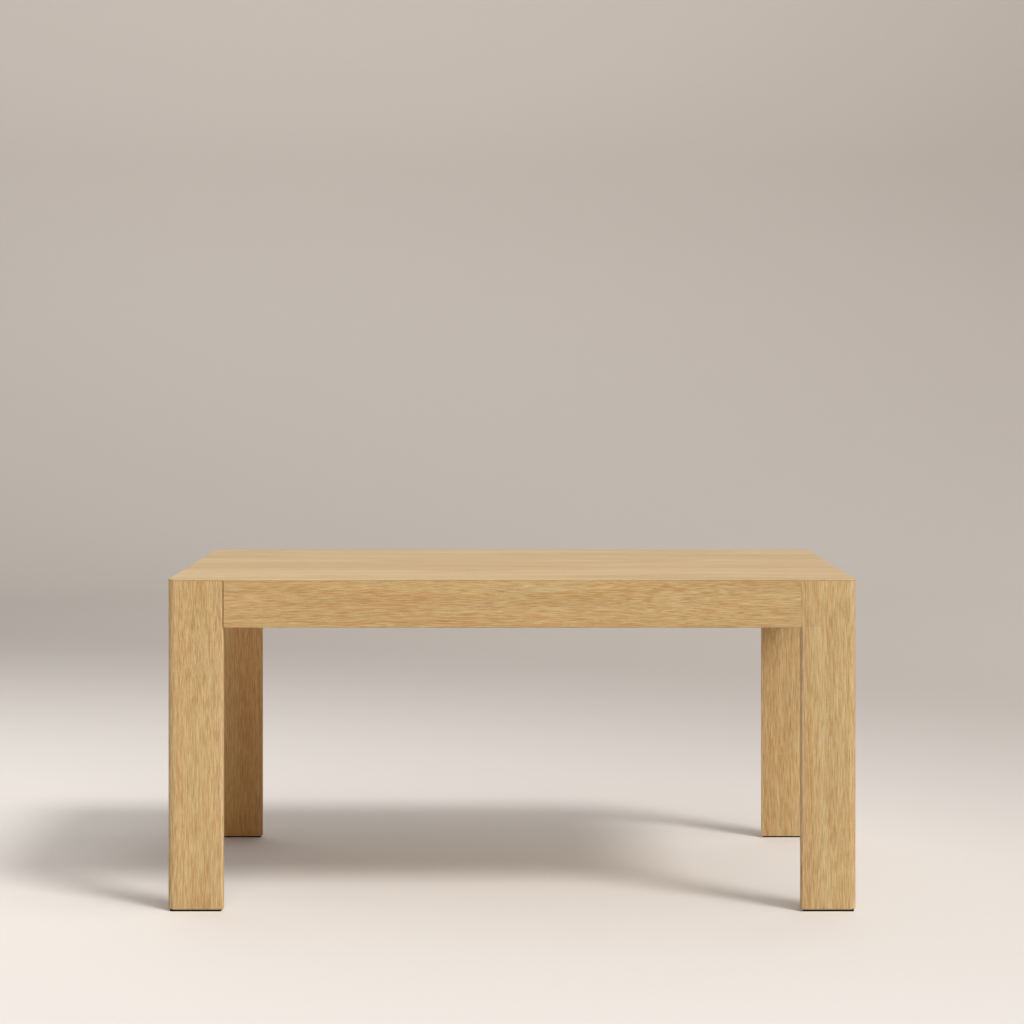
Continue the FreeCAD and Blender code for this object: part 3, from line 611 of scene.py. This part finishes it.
def make_table_top():
    low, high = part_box("table_top")
    lip_low = high.z - LIP
    panel = Vector((high.x - PANEL_INSET, high.y - PANEL_INSET, 0))

    def in_panel(at):
        return abs(at.x) < panel.x and abs(at.y) < panel.y

    def at_corner(at):
        return abs(abs(at.x) - high.x) < NEAR and abs(abs(at.y) - high.y) < NEAR

    def on_outline(at):
        in_corner = abs(at.x) > high.x - CORNER_ROUND - NEAR and abs(at.y) > high.y - CORNER_ROUND - NEAR
        return in_corner or abs(at.x) > high.x - NEAR or abs(at.y) > high.y - NEAR

    top = add_block("oak_table_top", Vector((low.x, low.y, lip_low)), high)
    start_shaping(top)
    for place in (panel.x, -panel.x):
        cut_through((place, 0, 0), (1, 0, 0))
    for place in (panel.y, -panel.y):
        cut_through((0, place, 0), (0, 1, 0))
    pick_faces(top, lambda normal, middle: normal.z < 0 and in_panel(middle))
    extrude_picked((0, 0, low.z - lip_low))
    pick_edges(top, at_corner)
    round_picked(CORNER_ROUND, TOP_CORNER_FLATS)
    pick_edges(top, lambda at: abs(at.z - high.z) < NEAR and on_outline(at))
    round_picked(LIP_ARRIS, ARRIS_FLATS)
    pick_edges(top, lambda at: abs(at.z - lip_low) < NEAR and on_outline(at))
    round_picked(LIP_UNDER_ARRIS, FINE_ARRIS_FLATS)
    pick_edges(top, lambda at: abs(at.z - low.z) < NEAR)
    round_picked(PANEL_ARRIS, PANEL_ARRIS_FLATS)
    stop_shaping()
    finish = wood("oak_top", TOP_OAK, low, high, seed=1, pith=TOP_PITH, staves=TOP_STAVES)
    dress(top, "main_frame", "oak_top", finish, "table_top")


# Aprons

X_AXIS = 0
Y_AXIS = 1
APRONS = {
    "front": {"body": "main_frame", "along": X_AXIS, "seed": 2},
    "rear": {"body": "main_frame", "along": X_AXIS, "seed": 3},
    "right": {"body": "main_frame", "along": Y_AXIS, "seed": 4},
    "left": {"body": "end_frame", "along": Y_AXIS, "seed": 5},
}


def round_along(board, level, along, radius, flats):
    """Rounds the long edges of a board at one level, and leaves its ends square."""
    pick_edges(board, lambda at: abs(at.z - level) < NEAR)
    leave_out(board, lambda a, b: abs((a - b)[along]) < (a - b).length / 2)
    round_picked(radius, flats)


def make_apron(side, body, along, seed):
    low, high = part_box("apron_" + side)
    apron = add_block("oak_apron_" + side, low, high)
    start_shaping(apron)
    round_along(apron, low.z, along, APRON_ARRIS, ARRIS_FLATS)
    round_along(apron, high.z, along, APRON_TOP_ARRIS, FINE_ARRIS_FLATS)
    stop_shaping()
    finish = wood("oak_apron_" + side, APRON_OAK, low, high, seed)
    dress(apron, body, "oak_frame", finish, "apron_" + side)


# Legs: flat boards, round at the table's corner and at the foot

FIRST_LEG_SEED = 11


def draw_leg(open_edge):
    """The front left leg. An open inner edge is round all the way up, a glued one only below the apron."""
    low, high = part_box("leg_front_left")
    apron_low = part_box("apron_front")[0].z
    leg = add_block("leg", low, high)
    start_shaping(leg)
    pick_edges(leg, lambda at: abs(at.x - low.x) < NEAR and abs(at.y - low.y) < NEAR)
    round_picked(CORNER_ROUND, LEG_CORNER_FLATS)
    if not open_edge:
        cut_through((0, 0, apron_low), (0, 0, 1))
    pick_edges(leg, lambda at: abs(at.x - high.x) < NEAR and abs(at.y - low.y) < NEAR
               and (open_edge or at.z < apron_low + NEAR))
    round_picked(LEG_EDGE_ROUND, LEG_EDGE_FLATS)
    pick_edges(leg, lambda at: abs(at.z - low.z) < NEAR)
    leave_out(leg, lambda a, b: abs(a.y - high.y) < NEAR and abs(b.y - high.y) < NEAR)
    round_picked(LEG_FOOT_ROUND, LEG_FOOT_FLATS)
    stop_shaping()
    return leg


def make_legs():
    """Four legs from two drawn boards, mirrored to their places."""
    seed = FIRST_LEG_SEED
    for end, body, sign_x in (("left", "end_frame", 1), ("right", "main_frame", -1)):
        drawn = draw_leg(open_edge=(end == "left"))
        for side, sign_y in (("front", 1), ("rear", -1)):
            node = f"leg_{side}_{end}"
            leg = copied(drawn, "oak_" + node, Matrix.Diagonal((sign_x, sign_y, 1, 1)))
            # The rear left leg takes the painted shade towards its foot
            kind = PAINTED_SHADE_OAK if node == "leg_rear_left" else OAK
            dress(leg, body, "oak_frame", board_wood("oak_" + node, kind, node, seed), node)
            seed += 1
        bpy.data.objects.remove(drawn)


# CAD nodes that keep their shape and take a finish

FIRST_HIDDEN_SEED = 41


def set_finish(node, finish):
    for slot in nodes[node].material_slots:
        slot.material = finish


def finish_hidden_pieces():
    """Every other piece by what it is made of."""
    finishes = {
        "zinc_steel": zinc_steel(),
        "brass": brass(),
        "black_glide": black_plastic("glide_plastic", **GLIDE_PLASTIC),
        "black_knob": black_plastic("knob_plastic", **KNOB_PLASTIC),
        "felt": felt(),
    }
    woods = {"beech": BEECH, "oak_top": TOP_OAK}
    seed = FIRST_HIDDEN_SEED
    for name, node in sorted(nodes.items()):
        if node.hide_render:
            continue
        slot = node.material_slots[0].material.name.split(".")[0]
        if slot in finishes:
            set_finish(name, finishes[slot])
            continue
        set_finish(name, board_wood("wood_" + name, woods[slot], name, seed))
        seed += 1


# Studio

def studio_surface():
    """Pale paint with painted light: brightest in a painted pool of light before the table, darker away from
    it as painted fall-off, with a painted change of brightness up the wall and painted shade towards the
    left.
    """
    recipe = Recipe("studio_paint_with_painted_light")
    spot = recipe.place()
    axes = recipe.split(spot)
    # Painted light: lightest in a painted pool of light, darkening away from it as painted fall-off
    reach = recipe.vector("LENGTH", recipe.vector("SUBTRACT", spot, LIGHT_POOL_CENTRE))
    light_falloff = recipe.remap(reach, LIGHT_POOL_START, LIGHT_POOL_END)
    paint = recipe.mix(light_falloff, LIGHT_POOL_PAINT, FALLOFF_SHADE_PAINT)
    # A painted change of brightness up the wall
    paint = recipe.mix(recipe.remap(axes["Z"], 0.0, WALL_HEIGHT), paint, WALL_PAINT)
    # Painted shade towards the left, growing with the fall-off
    side_shade = recipe.math("MULTIPLY", recipe.math("MULTIPLY", axes["X"], SIDE_SHADE_TILT), light_falloff)
    paint = recipe.tinted(paint, recipe.grey(recipe.math("ADD", 1.0, side_shade)))
    return recipe.finish(Base_Color=paint, Roughness=0.9, Specular_IOR_Level=0.2)


def make_studio():
    """A disc whose rim is drawn outwards and up in steps, then straight up."""
    bpy.ops.object.select_all(action="DESELECT")
    bpy.ops.mesh.primitive_circle_add(vertices=FLOOR_SIDES, radius=FLOOR_RADIUS, fill_type="NGON")
    floor = bpy.context.object
    floor.name = "studio_floor"
    start_shaping(floor)
    bpy.ops.mesh.select_mode(type="EDGE")
    bpy.ops.mesh.select_all(action="SELECT")
    bpy.ops.mesh.region_to_loop()
    radius = FLOOR_RADIUS
    turn = 0.0
    for step in range(1, WALL_CURVE_STEPS + 1):
        next_turn = math.radians(90) * step / WALL_CURVE_STEPS
        next_radius = FLOOR_RADIUS + WALL_CURVE * math.sin(next_turn)
        extrude_picked((0, 0, WALL_CURVE * (math.cos(turn) - math.cos(next_turn))))
        ratio = next_radius / radius
        bpy.ops.transform.resize(value=(ratio, ratio, 1), center_override=(0, 0, 0))
        radius = next_radius
        turn = next_turn
    extrude_picked((0, 0, WALL_HEIGHT - WALL_CURVE))
    bpy.ops.mesh.select_all(action="SELECT")
    bpy.ops.mesh.normals_make_consistent(inside=True)
    stop_shaping()
    bpy.ops.object.shade_smooth_by_angle(angle=STUDIO_SMOOTH_ANGLE)
    floor.data.materials.append(studio_surface())


def make_lights():
    for name, lamp in LAMPS.items():
        sun = bpy.data.lights.new(name, "SUN")
        sun.energy = lamp["strength"]
        sun.angle = math.radians(lamp["width"])
        sun.color = LAMP_COLOUR
        holder = bpy.data.objects.new(name, sun)
        bpy.context.scene.collection.objects.link(holder)
        holder.rotation_euler = Vector(lamp["direction"]).to_track_quat("Z", "Y").to_euler()
    world = bpy.data.worlds.new("studio_sky")
    bpy.context.scene.world = world
    world.use_nodes = True
    background = world.node_tree.nodes["Background"]
    background.inputs["Color"].default_value = (*SKY_COLOUR, 1)
    background.inputs["Strength"].default_value = SKY_STRENGTH


def make_camera():
    camera = bpy.data.cameras.new("camera")
    camera.lens = CAMERA_LENS
    camera.sensor_width = CAMERA_SENSOR
    camera.shift_y = CAMERA_SHIFT_Y
    holder = bpy.data.objects.new("camera", camera)
    bpy.context.scene.collection.objects.link(holder)
    holder.location = (0, cad_low.y - CAMERA_DISTANCE, CAMERA_HEIGHT)
    holder.rotation_euler = (math.radians(90), 0, 0)
    bpy.context.scene.camera = holder


bpy.context.scene.view_settings.view_transform = "Standard"
make_camera()
make_studio()
make_lights()
make_table_top()
for side, apron in APRONS.items():
    make_apron(side, **apron)
make_legs()
finish_hidden_pieces()
